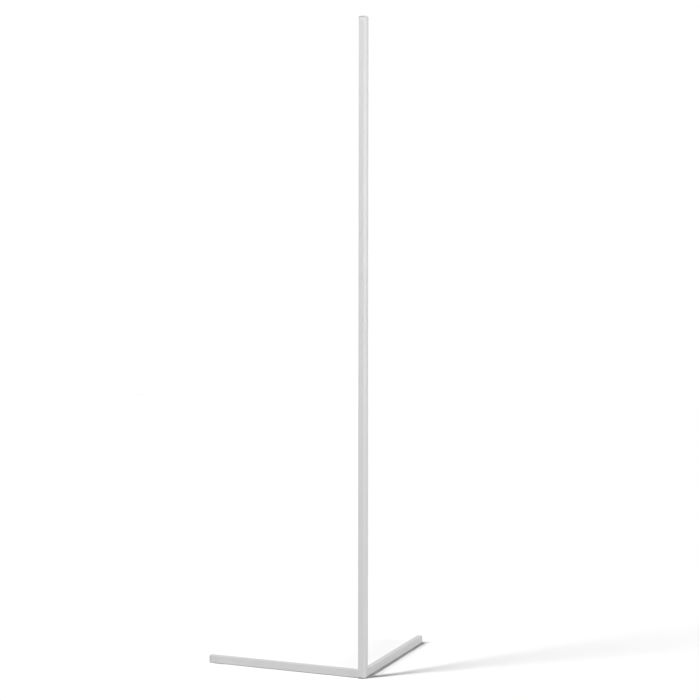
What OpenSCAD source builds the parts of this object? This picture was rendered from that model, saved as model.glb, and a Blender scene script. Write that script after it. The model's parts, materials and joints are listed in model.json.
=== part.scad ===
// Corner floor lamp: a slim light pole that stands on the point of two legs at a right angle.
// Millimetres, +Z up. The origin is on the floor, on the pole's axis.
// The left leg runs along -X and the right leg along +Y. The light faces in between them,
// towards the corner of the room, and the closed corner of the pole faces the room.

/* [Pole] */
// Overall height of the lamp
lamp_h = 1400; // [1200:10:1700]
// Side of the pole's square section
pole_w = 16; // [15.5:0.5:20]
// Length that the flat on the pole's outer corner takes off each face
apex_cut = 5; // [4:0.5:6]
// Wall of the pole's extrusion
pole_wall = 1.2; // [1:0.1:1.4]
// Depth of the light shelf below the line between the pole's two edges
shelf_depth = 2; // [1.8:0.1:2.4]
// Thickness of the light shelf
shelf_t = 1; // [0.8:0.1:1.2]
// Width of the lip along each edge that holds the diffuser
lip_w = 0.8; // [0.6:0.1:1]
// Height of that lip above the inside of the wall
lip_h = 0.8; // [0.6:0.1:1]

/* [Joiners] */
// Length of the bar inside each joint of the pole
joiner_len = 60; // [48:2:90]
// Distance of the first set screw from the joint
grub_first = 10; // [7:1:12]
// Distance between the two set screws on one side of a joint
grub_pitch = 10; // [6:1:11]
// Diameter of the set screws
grub_d = 3; // [2.5:0.5:4]
// Depth of the set screws' outer end below the face of their bar
grub_sink = 0.3; // [0.2:0.1:0.6]
// Width across the hexagon socket of the set screws
grub_socket = 1.5; // [1.2:0.1:1.8]

/* [Top cap] */
// Thickness of the cap's plate
cap_t = 3; // [2:0.5:5]
// Length of the cap's plug inside the pole
plug_len = 10; // [8:1:16]
// Distance of the cap's screws below the plate
cap_screw_drop = 4; // [3:0.5:5]

/* [Diffuser] */
// Wall of the milky cover
diffuser_t = 1.2; // [0.8:0.1:1.6]
// Height of the cover's bulge above the line between the pole's two edges
bulge = 5; // [4:0.5:6]
// Width of the hook behind each lip
hook_w = 1.1; // [0.8:0.1:1.4]
// Height of that hook above the edge of the cover
hook_rise = 0.8; // [0.5:0.1:1.2]

/* [Light strip] */
// Width of the flexible board
strip_w = 8; // [6:0.5:10]
// Thickness of the flexible board
strip_t = 0.3; // [0.2:0.1:0.5]
// Thickness of the adhesive tape under the board
tape_t = 0.2; // [0.1:0.1:0.3]
// Side of one light chip
chip_w = 5; // [3:0.5:5.5]
// Height of one light chip
chip_h = 1.5; // [1:0.1:1.8]
// Diameter of the chip's round window
chip_window_d = 4; // [2:0.5:4]
// Depth of that window
chip_window_depth = 0.4; // [0.2:0.1:0.6]
// Distance from one chip to the next
chip_pitch = 16; // [12:1:30]
// Length of one resistor
resistor_l = 2; // [1.6:0.2:3]
// Width of one resistor
resistor_w = 1.2; // [0.8:0.1:1.6]
// Height of one resistor
resistor_h = 0.5; // [0.4:0.1:0.8]
// Number of chips that share a resistor
chips_per_resistor = 3; // [1:1:6]

/* [Legs] */
// Reach of each leg, from the pole's axis to its tip
leg_reach = 364; // [300:2:450]
// Width of a leg
leg_w = 12; // [11:0.5:14]
// Height of a leg
leg_h = 16; // [14:0.5:20]
// Wall of the leg's tube
leg_wall = 1.5; // [1:0.1:2]
// Radius of the tube's outer edges
leg_edge_r = 0.6; // [0.3:0.1:0.9]
// Length of the cap at the tip
leg_cap_l = 5; // [3:0.5:8]
// Length of the cap's plug inside the tube
leg_plug_l = 14; // [8:1:24]
// Wall of that hollow plug
leg_plug_wall = 1.4; // [1:0.1:2]
// Length of the block's tongue inside each leg
tongue_len = 42; // [34:1:60]

/* [Ballast] */
// Clearance around the ballast bar inside its leg
ballast_gap = 0.3; // [0.2:0.1:0.6]
// Space between the ballast bar and what is before and behind it
ballast_end_gap = 3; // [1:0.5:8]

/* [Feet] */
// Height of the legs above the floor, on their pads
leg_lift = 1; // [0.8:0.1:2]
// Thickness of the foot under the pole
foot_t = 3; // [2:0.5:4]
// Diameter of the foot's two pins
foot_pin_d = 3; // [2:0.5:3.5]
// Length of those pins
foot_pin_l = 3.5; // [2:0.5:4]
// Length of the pad under a leg
pad_l = 24; // [10:1:40]
// Width of that pad
pad_w = 9; // [6:0.5:11]
// Radius of the pad's corners
pad_edge_r = 2; // [0.5:0.5:2.5]
// Distance from the tip of a leg to the end of its pad
pad_inset = 10; // [6:1:30]

/* [Corner block] */
// Length that the flat on the block's inner corner takes off each face
inner_cut = 2; // [1:0.5:3]
// Height of the block's stem above the legs
stem_h = 64; // [58:1:90]
// Height of the screws in the pole's outer faces above the floor
corner_screw_z = 10; // [9:0.5:12]

/* [Screws] */
// Distance of the screws in the pole's faces from the pole's edge
face_screw_in = 6.3; // [6:0.1:7]
// Shank diameter of the screws in the pole's faces
face_screw_d = 2.5; // [2:0.5:3]
// Head diameter of those screws
face_head_d = 4.4; // [4:0.1:5]
// Height of the head's dome over the face
face_dome = 0.4; // [0.2:0.1:0.6]
// Length of those screws under the face
face_screw_l = 4; // [3.2:0.1:4.1]
// Width across the hexagon socket of those screws
face_socket = 1.5; // [1.2:0.1:2]
// Depth of the screws' sockets
socket_depth = 1; // [0.6:0.1:1.2]
// Shank diameter of the screws under the legs
leg_screw_d = 3; // [2.5:0.5:4]
// Head diameter of those screws
leg_head_d = 5.6; // [5:0.1:7]
// Length of those screws, head included
leg_screw_l = 8; // [5:0.5:9]
// Width across the hexagon socket of those screws
leg_socket = 2; // [1.5:0.1:2.5]
// Distance of the first leg screw from the pole
leg_screw_first = 12; // [8:1:14]
// Distance between the two screws of a leg
leg_screw_pitch = 18; // [10:1:22]

/* [Rear housing] */
// Height of the housing above the legs
housing_h = 28; // [20:1:34]
// Wall of the housing
housing_wall = 1.4; // [1:0.1:1.6]
// Radius of the housing's upright outer edges
housing_edge_r = 1.5; // [0.5:0.1:2]
// Space between the inlet's barrel and the housing's side walls
jack_room = 0.2; // [0.1:0.1:0.5]

/* [Inlet] */
// Outer diameter of the inlet's barrel
jack_d = 8; // [7.5:0.1:8.4]
// Length of the barrel, flange left out
jack_l = 9; // [7:0.1:9]
// Diameter of the flange
flange_d = 10; // [9:0.1:11]
// Thickness of the flange
flange_t = 1.2; // [0.8:0.1:1.5]
// Diameter of the inlet's bore
socket_d = 5.6; // [5.5:0.1:5.8]
// Thickness of the barrel's back wall
jack_back = 1.5; // [1:0.1:2]
// Diameter of the centre pin
pin_d = 2.1; // [1.7:0.1:2.5]
// Distance of the pin's tip inside the mouth
pin_recess = 0.8; // [0.4:0.1:1.5]
// Length of the contacts behind the barrel
lug_l = 1; // [0.8:0.1:1.2]
// Width of the side contact
spring_w = 1.6; // [1:0.1:2]
// Thickness of the side contact
spring_t = 0.4; // [0.3:0.1:0.5]
// Diameter of the two leads
lead_d = 1.2; // [1:0.1:1.3]
// Radius of the leads' bend
lead_bend = 1.2; // [0.9:0.1:1.5]
// Length of the leads' straight end on the board
lead_end = 1.2; // [0.6:0.1:1.6]

/* [Fits] */
// Clearance between parts that slide into each other
fit = 0.1; // [0.05:0.05:0.2]
// Clearance around a screw's shank
screw_gap = 0.05; // [0.02:0.01:0.1]

/* [Hidden] */

$fn = 48;
// Segments of the diffuser's wide arc, and of the chips' small windows
arc_fn = 96;
window_fn = 24;
root2 = sqrt(2);
// How far a cut runs past the face that it opens
past = 1;
half = pole_w / 2;

// Heights on the pole
pole_top = lamp_h - cap_t;
leg_top = leg_lift + leg_h;
housing_top = leg_top + housing_h;
plug_bottom = pole_top - plug_len;
pole_pieces = 3;
piece_len = (pole_top - foot_t) / pole_pieces;
stem_top = leg_top + stem_h;

// Depths on the line from the pole's outer corner to the corner of the room, measured from the pole's axis
back_inside = pole_wall - (pole_w - apex_cut) / root2;
shelf_face = -shelf_depth;
bar_face = shelf_face - shelf_t - fit;
grub_end = bar_face - grub_sink;
board_face = shelf_face + tape_t + strip_t;
// The plug stops behind the diffuser's hooks
plug_face = (pole_wall - lip_w - hook_w) / root2 - fit;

// The diffuser is an arc through both edges of the pole, over its lips
edge_rise = pole_wall + lip_h + fit;
arc_u = edge_rise / root2;
arc_v = (pole_w - edge_rise) / root2;
arc_sag = bulge - arc_u;
arc_r = (arc_v * arc_v + arc_sag * arc_sag) / (2 * arc_sag);
arc_centre = bulge - arc_r;

// Set screws: two on each side of a joint, and two in the block's stem
stem_grub_top = stem_top - grub_first;
joiner_grubs = [-grub_first - grub_pitch, -grub_first, grub_first, grub_first + grub_pitch];
stem_grubs = [stem_grub_top - grub_pitch, stem_grub_top];

// Light strip
jack_z = leg_top + housing_h / 2;
strip_bottom = jack_z + jack_d / 2 + fit;
strip_top = plug_bottom - 2 * fit;
pad_z = (strip_bottom + housing_top - housing_wall) / 2;
first_chip_z = housing_top + chip_w;
chip_count = floor((strip_top - chip_w - first_chip_z) / chip_pitch) + 1;

// Legs, in a frame where +X runs from the pole's axis to the leg's tip
tube_end = leg_reach - leg_cap_l;
tube_inner_w = leg_w - 2 * leg_wall;
tube_inner_h = leg_h - 2 * leg_wall;
tube_floor = leg_lift + leg_wall;
tongue_end = half + tongue_len;
tongue_bottom = max(foot_t, tube_floor + fit);
ballast_start = tongue_end + ballast_end_gap;
ballast_end = tube_end - leg_plug_l - ballast_end_gap;
ballast_screw_x = (ballast_start + ballast_end) / 2;
leg_screw_xs = [half + leg_screw_first, half + leg_screw_first + leg_screw_pitch];

// Inlet, stacked from the board towards the corner of the room
bend_u = board_face + lead_end;
lead_u = bend_u + lead_bend;
lug_rear = lead_u + lead_d / 2;
jack_rear = lug_rear + lug_l;
socket_floor = jack_rear + jack_back;
jack_front = jack_rear + jack_l;
mouth = jack_front + flange_t;
spring_v = socket_d / 2 - spring_t;
housing_room_w = jack_d + 2 * jack_room;
housing_w = housing_room_w + 2 * housing_wall;

frost = "whitesmoke";
satin = [0.82, 0.82, 0.82];
cap_grey = [0.74, 0.74, 0.74];
steel = "silver";
board_white = "white";

// Points of the pole's angle, drawn d inside its three outer faces and carried on by over at the open side
function angle_pts(d, over = 0) =
    let (a = half - d, k = half - apex_cut - d * (root2 - 1))
    [[-half - over, -a], [k, -a], [a, -k], [a, half + over]];

// Turns local X onto the line from the pole's outer corner to the corner of the room
module inward() {
    rotate([0, 0, 135]) children();
}

// Lays local Z along that line, at height z and offset v across it
module along_inward(z, v = 0) {
    inward() translate([0, v, z]) rotate([0, 90, 0]) children();
}

// Repeats a shape on both sides of that line
module both_edges() {
    children();
    mirror([1, 1, 0]) children();
}

// All of the plan that lies further back than depth u
module behind(u) {
    inward() translate([u - 2 * pole_w, -pole_w]) square(2 * pole_w);
}

// All of the plan that lies further towards the corner of the room than depth u
module before(u) {
    inward() translate([u, -pole_w]) square(2 * pole_w);
}

module left_side() {
    rotate([0, 0, 180]) children();
}

module right_side() {
    rotate([0, 0, 90]) children();
}

module rounded_rect(w, h, r) {
    square([w, h - 2 * r], center = true);
    square([w - 2 * r, h], center = true);
    for (sx = [-1, 1], sy = [-1, 1]) translate([sx * (w / 2 - r), sy * (h / 2 - r)]) circle(r);
}

// --- Pole ---------------------------------------------------------------------------------------

module angle_2d() {
    difference() {
        polygon([
            [-half, -half], [half - apex_cut, -half], [half, apex_cut - half],
            [half, half], [half - pole_wall, half], [-half, pole_wall - half]
        ]);
        polygon(angle_pts(pole_wall, past));
    }
}

module shelf_2d() {
    intersection() {
        polygon(angle_pts(pole_wall / 2));
        behind(shelf_face);
        before(shelf_face - shelf_t);
    }
}

module lips_2d() {
    both_edges() translate([-half, pole_wall - half - fit]) square([lip_w, lip_h + fit]);
}

// Seat of an oval-head screw in the pole's left face, at height z; the same on the right face
module at_faces(z) {
    both_edges() translate([face_screw_in - half, -half, z]) rotate([90, 0, 0]) children();
}

module piece_of_pole(i) {
    z0 = foot_t + i * piece_len;
    z1 = z0 + piece_len;
    shelf_z0 = max(z0, leg_top);
    shelf_z1 = min(z1, plug_bottom - fit);
    difference() {
        union() {
            translate([0, 0, z0]) linear_extrude(piece_len) angle_2d();
            translate([0, 0, shelf_z0]) linear_extrude(shelf_z1 - shelf_z0) shelf_2d();
            translate([0, 0, shelf_z0]) linear_extrude(z1 - shelf_z0) lips_2d();
        }
        if (i == 0) {
            at_faces(corner_screw_z) oval_seat();
            for (z = stem_grubs) grub_access(z);
        }
        if (i == pole_pieces - 1) at_faces(pole_top - cap_screw_drop) oval_seat();
        for (joint = [i, i + 1], dz = joiner_grubs) {
            z = foot_t + joint * piece_len + dz;
            if (joint > 0 && joint < pole_pieces && z > z0 && z < z1) grub_access(z);
        }
    }
}

module pole_lower() {
    color(satin) piece_of_pole(0);
}

module pole_middle() {
    color(satin) piece_of_pole(1);
}

module pole_upper() {
    color(satin) piece_of_pole(2);
}

// --- Joiners ------------------------------------------------------------------------------------

// The closed channel behind the light shelf, less the sliding fit
module channel_2d() {
    intersection() {
        polygon(angle_pts(pole_wall + fit));
        behind(bar_face);
    }
}

module grub_access(z) {
    along_inward(z) translate([0, 0, bar_face - fit]) cylinder(d = grub_d + 2 * fit, h = shelf_t + 4 * fit);
}

module grub_bore(z) {
    along_inward(z) translate([0, 0, back_inside - past])
        cylinder(d = grub_d + 2 * screw_gap, h = bar_face - back_inside + 2 * past);
}

module grub(z) {
    length = grub_end - back_inside;
    along_inward(z) difference() {
        translate([0, 0, back_inside]) cylinder(d = grub_d, h = length);
        translate([0, 0, grub_end]) socket(grub_socket, socket_depth);
    }
}

module joiner(i) {
    z = foot_t + i * piece_len;
    difference() {
        translate([0, 0, z - joiner_len / 2]) linear_extrude(joiner_len) channel_2d();
        for (dz = joiner_grubs) grub_bore(z + dz);
    }
}

module lower_joiner() {
    color(steel) joiner(1);
}

module upper_joiner() {
    color(steel) joiner(2);
}

module clamp_screws() {
    color("dimgray") {
        for (i = [1, 2], dz = joiner_grubs) grub(foot_t + i * piece_len + dz);
        for (z = stem_grubs) grub(z);
    }
}

// --- Screws -------------------------------------------------------------------------------------

// Countersunk screw or its seat: local Z = 0 is the surface and the shank runs down
module countersunk(shank_d, head_d, length, gap) {
    cone_h = (head_d - shank_d) / 2;
    rotate_extrude() polygon([
        [0, 0], [head_d / 2 + gap, 0], [shank_d / 2 + gap, -cone_h],
        [shank_d / 2 + gap, -length - gap], [0, -length - gap]
    ]);
}

// The same with room above the surface, for cutting
module seat(shank_d, head_d, length) {
    countersunk(shank_d, head_d, length, screw_gap);
    cylinder(d = head_d + 2 * screw_gap, h = past);
}

// Hexagon socket, cut down from local Z = 0
module socket(width, depth) {
    translate([0, 0, -depth]) cylinder(d = width * 2 / sqrt(3), h = depth + past, $fn = 6);
}

module oval_screw() {
    difference() {
        union() {
            countersunk(face_screw_d, face_head_d, face_screw_l, 0);
            rotate_extrude() polygon([
                [0, 0], [face_head_d / 2, 0], [face_head_d / 2 - face_dome, face_dome], [0, face_dome]
            ]);
        }
        translate([0, 0, face_dome]) socket(face_socket, socket_depth);
    }
}

module oval_seat() {
    seat(face_screw_d, face_head_d, face_screw_l);
}

module leg_screw() {
    difference() {
        countersunk(leg_screw_d, leg_head_d, leg_screw_l, 0);
        socket(leg_socket, socket_depth);
    }
}

module leg_screw_seat() {
    seat(leg_screw_d, leg_head_d, leg_screw_l);
}

// Turns a screw upside down, with its head in the underside of a leg
module under_leg(x) {
    translate([x, 0, leg_lift]) rotate([180, 0, 0]) children();
}

module top_cap_screws() {
    color("darkgray") at_faces(pole_top - cap_screw_drop) oval_screw();
}

module corner_screws() {
    color("darkgray") at_faces(corner_screw_z) oval_screw();
}

module leg_screws() {
    color("dimgray") {
        left_side() for (x = leg_screw_xs) under_leg(x) leg_screw();
        right_side() for (x = leg_screw_xs) under_leg(x) leg_screw();
    }
}

module ballast_screws() {
    color("dimgray") {
        left_side() under_leg(ballast_screw_x) leg_screw();
        right_side() under_leg(ballast_screw_x) leg_screw();
    }
}

// --- Top cap and diffuser -----------------------------------------------------------------------

// The pole's whole outline: the square with its cut corner, rounded off by the diffuser's arc
module outline_2d() {
    intersection() {
        polygon([
            [-half, -half], [half - apex_cut, -half], [half, apex_cut - half], [half, half], [-half, half]
        ]);
        inward() translate([arc_centre, 0]) circle(arc_r, $fn = arc_fn);
    }
}

module top_cap() {
    color(cap_grey) difference() {
        union() {
            translate([0, 0, pole_top]) linear_extrude(cap_t) outline_2d();
            translate([0, 0, plug_bottom]) linear_extrude(plug_len) intersection() {
                polygon(angle_pts(pole_wall + fit));
                behind(plug_face);
            }
        }
        at_faces(pole_top - cap_screw_drop) oval_seat();
    }
}

module diffuser_2d() {
    intersection() {
        difference() {
            inward() translate([arc_centre, 0]) circle(arc_r, $fn = arc_fn);
            inward() translate([arc_centre, 0]) circle(arc_r - diffuser_t, $fn = arc_fn);
        }
        translate([-half, edge_rise - half]) square(pole_w - edge_rise);
    }
    // A hook behind each lip, and the shoulder that joins it to the cover
    hook_x = lip_w + fit - half;
    both_edges() {
        translate([hook_x, pole_wall + fit - half]) square([hook_w, lip_h + hook_rise]);
        intersection() {
            outline_2d();
            translate([-half, edge_rise - half]) square([lip_w + fit + hook_w, hook_rise]);
        }
    }
}

module diffuser() {
    color(frost) translate([0, 0, housing_top]) linear_extrude(pole_top - housing_top) diffuser_2d();
}

// --- Light strip --------------------------------------------------------------------------------

// A slab on the shelf, from depth u to u + t, between two heights
module on_shelf(u, t, w, z0, z1) {
    inward() translate([u, -w / 2, z0]) cube([t, w, z1 - z0]);
}

module led_strip() {
    color(board_white) on_shelf(shelf_face + tape_t, strip_t, strip_w, strip_bottom, strip_top);
}

module strip_tape() {
    color("khaki") on_shelf(shelf_face, tape_t, strip_w, strip_bottom, strip_top);
}

module led_chips() {
    color(board_white) for (i = [0 : chip_count - 1]) {
        z = first_chip_z + i * chip_pitch;
        difference() {
            on_shelf(board_face, chip_h, chip_w, z - chip_w / 2, z + chip_w / 2);
            along_inward(z) translate([0, 0, board_face + chip_h - chip_window_depth])
                cylinder(d = chip_window_d, h = chip_h, $fn = window_fn);
        }
    }
}

module strip_resistors() {
    color("black") for (i = [0 : chips_per_resistor : chip_count - 2]) {
        z = first_chip_z + (i + 0.5) * chip_pitch;
        on_shelf(board_face, resistor_h, resistor_w, z - resistor_l / 2, z + resistor_l / 2);
    }
}

// --- Base ---------------------------------------------------------------------------------------

// The square inside the pole's two walls, with its inner corner cut off
module block_2d() {
    polygon(concat(
        angle_pts(pole_wall + fit),
        [[inner_cut - half, half], [-half, half - inner_cut]]
    ));
}

module tongue() {
    z1 = leg_top - leg_wall - fit;
    translate([half - past, fit - tube_inner_w / 2, tongue_bottom])
        cube([tongue_len + past, tube_inner_w - 2 * fit, z1 - tongue_bottom]);
}

module foot_pins(gap) {
    for (side = [-1, 1]) inward() translate([0, side * half / 2, foot_t - past])
        cylinder(d = foot_pin_d + 2 * gap, h = foot_pin_l + past + gap);
}

module corner_block() {
    color(satin) difference() {
        union() {
            translate([0, 0, foot_t]) linear_extrude(leg_top - foot_t) block_2d();
            translate([0, 0, foot_t]) linear_extrude(stem_top - foot_t) channel_2d();
            left_side() tongue();
            right_side() tongue();
        }
        foot_pins(fit);
        at_faces(corner_screw_z) oval_seat();
        for (z = stem_grubs) grub_bore(z);
        left_side() for (x = leg_screw_xs) under_leg(x) leg_screw_seat();
        right_side() for (x = leg_screw_xs) under_leg(x) leg_screw_seat();
    }
}

module pole_foot() {
    color(cap_grey) {
        linear_extrude(foot_t) polygon([
            [-half, -half], [half - apex_cut, -half], [half, apex_cut - half], [half, half],
            [inner_cut - half, half], [-half, half - inner_cut]
        ]);
        foot_pins(0);
    }
}

module leg() {
    difference() {
        translate([half, 0, leg_lift + leg_h / 2]) rotate([90, 0, 90])
            linear_extrude(tube_end - half) rounded_rect(leg_w, leg_h, leg_edge_r);
        translate([half - past, -tube_inner_w / 2, tube_floor])
            cube([tube_end - half + 2 * past, tube_inner_w, tube_inner_h]);
        for (x = leg_screw_xs) under_leg(x) leg_screw_seat();
        under_leg(ballast_screw_x) leg_screw_seat();
    }
}

module left_leg() {
    color(satin) left_side() leg();
}

module right_leg() {
    color(satin) right_side() leg();
}

module ballast() {
    w = tube_inner_w - 2 * ballast_gap;
    difference() {
        translate([ballast_start, -w / 2, tube_floor])
            cube([ballast_end - ballast_start, w, tube_inner_h - 2 * ballast_gap]);
        under_leg(ballast_screw_x) leg_screw_seat();
    }
}

module left_ballast() {
    color(steel) left_side() ballast();
}

module right_ballast() {
    color(steel) right_side() ballast();
}

module leg_cap() {
    plug_w = tube_inner_w - 2 * fit;
    plug_h = tube_inner_h - 2 * fit;
    mid = leg_lift + leg_h / 2;
    translate([tube_end, 0, mid]) intersection() {
        rotate([90, 0, 90]) linear_extrude(leg_cap_l) rounded_rect(leg_w, leg_h, leg_edge_r);
        // The tip's edges are rounded by two bars across it, which reach back into the tube
        translate([0, 0, -leg_h]) linear_extrude(2 * leg_h)
            rounded_rect(2 * leg_cap_l, leg_w, leg_edge_r);
        rotate([90, 0, 0]) translate([0, 0, -leg_w]) linear_extrude(2 * leg_w)
            rounded_rect(2 * leg_cap_l, leg_h, leg_edge_r);
    }
    translate([tube_end - leg_plug_l, 0, mid]) rotate([90, 0, 90]) linear_extrude(leg_plug_l) difference() {
        square([plug_w, plug_h], center = true);
        square([plug_w - 2 * leg_plug_wall, plug_h - 2 * leg_plug_wall], center = true);
    }
}

module left_leg_cap() {
    color(cap_grey) left_side() leg_cap();
}

module right_leg_cap() {
    color(cap_grey) right_side() leg_cap();
}

module foot_pad() {
    translate([leg_reach - pad_inset - pad_l / 2, 0, 0])
        linear_extrude(leg_lift) rounded_rect(pad_l, pad_w, pad_edge_r);
}

module left_foot_pad() {
    color("dimgray") left_side() foot_pad();
}

module right_foot_pad() {
    color("dimgray") right_side() foot_pad();
}

// --- Rear housing and inlet ---------------------------------------------------------------------

// The housing fills the pole's open side between the lips and reaches back for the inlet
module housing_2d() {
    difference() {
        union() {
            intersection() {
                outline_2d();
                before(plug_face);
            }
            inward() translate([jack_front / 2, 0]) rounded_rect(jack_front, housing_w, housing_edge_r);
        }
        both_edges() {
            translate([-half - past, -half - past]) square([pole_w + 2 * past, pole_wall + fit + past]);
            translate([-half - past, -half]) square([lip_w + fit + past, edge_rise]);
        }
    }
}

module rear_housing() {
    room_u = jack_front - housing_wall;
    color(cap_grey) difference() {
        translate([0, 0, leg_top]) linear_extrude(housing_h) housing_2d();
        inward() translate([plug_face - past, -housing_room_w / 2, leg_top + housing_wall])
            cube([room_u - plug_face + past, housing_room_w, housing_h - 2 * housing_wall]);
        along_inward(jack_z) translate([0, 0, room_u - past])
            cylinder(d = jack_d + 2 * fit, h = housing_wall + 2 * past);
    }
}

module dc_jack() {
    color("dimgray") along_inward(jack_z) difference() {
        union() {
            translate([0, 0, jack_rear]) cylinder(d = jack_d, h = jack_l);
            translate([0, 0, jack_front]) cylinder(d = flange_d, h = flange_t);
        }
        translate([0, 0, socket_floor]) cylinder(d = socket_d, h = mouth - socket_floor + past);
        translate([0, 0, jack_rear - past]) cylinder(d = pin_d + 2 * screw_gap, h = jack_back + 2 * past);
        spring_bar(screw_gap, jack_rear - past, jack_front);
    }
}

// Local Y of the inlet's frame is across the pole, so the side contact lies at +Y
module spring_bar(gap, u0, u1) {
    translate([-spring_w / 2 - gap, spring_v - gap, u0])
        cube([spring_w + 2 * gap, spring_t + 2 * gap, u1 - u0]);
}

module jack_pin() {
    color("gold") along_inward(jack_z) translate([0, 0, lug_rear])
        cylinder(d = pin_d, h = mouth - pin_recess - lug_rear);
}

module jack_spring() {
    color("gold") along_inward(jack_z) spring_bar(0, lug_rear, jack_front - screw_gap);
}

// Up from a contact's rear end, then round a bend onto the board
module lead(v) {
    inward() translate([0, v, 0]) {
        translate([lead_u, 0, jack_z]) cylinder(d = lead_d, h = pad_z - lead_bend - jack_z);
        translate([bend_u, 0, pad_z - lead_bend]) rotate([90, 0, 0])
            rotate_extrude(angle = 90) translate([lead_bend, 0]) circle(d = lead_d);
        translate([board_face, 0, pad_z]) rotate([0, 90, 0]) cylinder(d = lead_d, h = bend_u - board_face);
    }
}

module red_lead() {
    color("firebrick") lead(0);
}

module black_lead() {
    color("black") lead(spring_v + spring_t / 2);
}

pole_lower();
pole_middle();
pole_upper();
lower_joiner();
upper_joiner();
clamp_screws();
top_cap();
top_cap_screws();
diffuser();
led_strip();
strip_tape();
led_chips();
strip_resistors();
corner_block();
corner_screws();
pole_foot();
left_leg();
right_leg();
leg_screws();
left_ballast();
right_ballast();
ballast_screws();
left_leg_cap();
right_leg_cap();
left_foot_pad();
right_foot_pad();
rear_housing();
dc_jack();
jack_pin();
jack_spring();
red_lead();
black_lead();
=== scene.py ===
"""Corner floor lamp: the looks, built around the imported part. Metres, the part's own frame.

The left leg runs along -X and the right leg along +Y. The light faces in between them, and
"inward" is that direction, from the pole's outer corner to the corner of the room.
"""

import json
import math

import bmesh
import bpy
from mathutils import Matrix, Vector


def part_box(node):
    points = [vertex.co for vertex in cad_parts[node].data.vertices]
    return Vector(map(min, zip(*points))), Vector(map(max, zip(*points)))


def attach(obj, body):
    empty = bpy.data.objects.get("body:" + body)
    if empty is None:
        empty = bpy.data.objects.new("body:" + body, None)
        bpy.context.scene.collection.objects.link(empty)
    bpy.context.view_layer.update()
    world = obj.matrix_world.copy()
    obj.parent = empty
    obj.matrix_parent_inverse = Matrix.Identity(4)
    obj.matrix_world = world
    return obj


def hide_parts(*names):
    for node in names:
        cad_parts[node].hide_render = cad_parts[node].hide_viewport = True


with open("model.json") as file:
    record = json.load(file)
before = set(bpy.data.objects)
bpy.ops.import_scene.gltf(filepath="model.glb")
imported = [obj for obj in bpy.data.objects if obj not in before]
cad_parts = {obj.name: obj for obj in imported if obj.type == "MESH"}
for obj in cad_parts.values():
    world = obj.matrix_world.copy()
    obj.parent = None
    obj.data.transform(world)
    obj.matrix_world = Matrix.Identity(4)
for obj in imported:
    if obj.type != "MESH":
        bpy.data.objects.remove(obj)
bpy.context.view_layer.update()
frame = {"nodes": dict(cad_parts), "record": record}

MM = 0.001
ROOT2 = math.sqrt(2)
UP = Vector((0, 0, 1))


def middle_z(low, high):
    """The height halfway between two corners of a box."""
    return (low.z + high.z) / 2


# --- Sizes of the real lamp ---------------------------------------------------------------------

HALF = 8 * MM  # half the side of the pole
APEX_CUT = 5 * MM  # flat on the pole's outer corner, along each face
APEX_PLANE = 2 * HALF - APEX_CUT  # x - y on that flat
WALL = 1.2 * MM
LIP = 0.8 * MM  # it runs along each outer face's free edge, and holds the diffuser
HOOK_W = 1.1 * MM  # the diffuser's hooks, behind the lips
HOOK_RISE = 0.8 * MM
FIT = 0.1 * MM  # clearance between pieces that fit together
LEG_LIFT = 1 * MM  # the legs' height over the floor
LEG_W = 12 * MM
LEG_H = 16 * MM
LEG_WALL = 1.5 * MM
LEG_TOP = LEG_LIFT + LEG_H
BULGE = 5 * MM  # how far the diffuser's middle stands inward of the pole's axis

LAMP_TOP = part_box("top_cap")[1].z
POLE_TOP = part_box("pole_upper")[1].z
HOUSING_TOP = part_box("rear_housing")[1].z
TUBE_END = -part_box("left_leg")[0].x
LEG_TIP = -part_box("left_leg_cap")[0].x
JACK_Z = middle_z(*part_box("dc_jack"))

# The diffuser is an arc over the pole's two lips
EDGE_RISE = WALL + LIP + FIT
ARC_U = EDGE_RISE / ROOT2
ARC_V = (2 * HALF - EDGE_RISE) / ROOT2
ARC_SAG = BULGE - ARC_U
ARC_R = (ARC_V**2 + ARC_SAG**2) / (2 * ARC_SAG)
ARC_CENTRE = BULGE - ARC_R

INWARD = Vector((-1, 1, 0)) / ROOT2
INWARD_TURN = math.radians(135)  # from +X
PLUG_FACE = (WALL - LIP - HOOK_W) / ROOT2 - FIT  # plugs in the pole end here, clear of the hooks
TOUCH = 2e-6  # two places this close are the same
PLANE_TOUCH = 1e-8  # the same, for a plane that cuts
SQUARE_ON = 0.99  # cosine from which a face looks in a given direction
OVERCUT = 1 * MM  # how far a cutting tool reaches past what it cuts
SMOOTH_ANGLE = math.radians(35)
MIRROR = Matrix(((0, -1, 0, 0), (-1, 0, 0, 0), (0, 0, 1, 0), (0, 0, 0, 1)))  # swaps the legs


def inward_place(u, z):
    """The place that lies u inward of the pole's axis, at height z."""
    return INWARD * u + UP * z


# --- Modelling by hand --------------------------------------------------------------------------


def drop_selection():
    bpy.ops.object.select_all(action="DESELECT")


def make_active(piece):
    drop_selection()
    piece.select_set(True)
    bpy.context.view_layer.objects.active = piece


def settle(name):
    """Names the object just added, and puts its place into its mesh."""
    piece = bpy.context.view_layer.objects.active
    piece.name = name
    piece.data.name = name
    bpy.ops.object.transform_apply(location=True, rotation=True, scale=True)
    return piece


def block(name, low, high, turn=0.0):
    """A box between two corners, then turned about the pole's axis."""
    drop_selection()
    low, high = Vector(low), Vector(high)
    bpy.ops.mesh.primitive_cube_add(size=1, location=(low + high) / 2)
    bpy.context.object.scale = high - low
    piece = settle(name)
    if turn:
        piece.data.transform(Matrix.Rotation(turn, 4, "Z"))
    return piece


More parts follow.
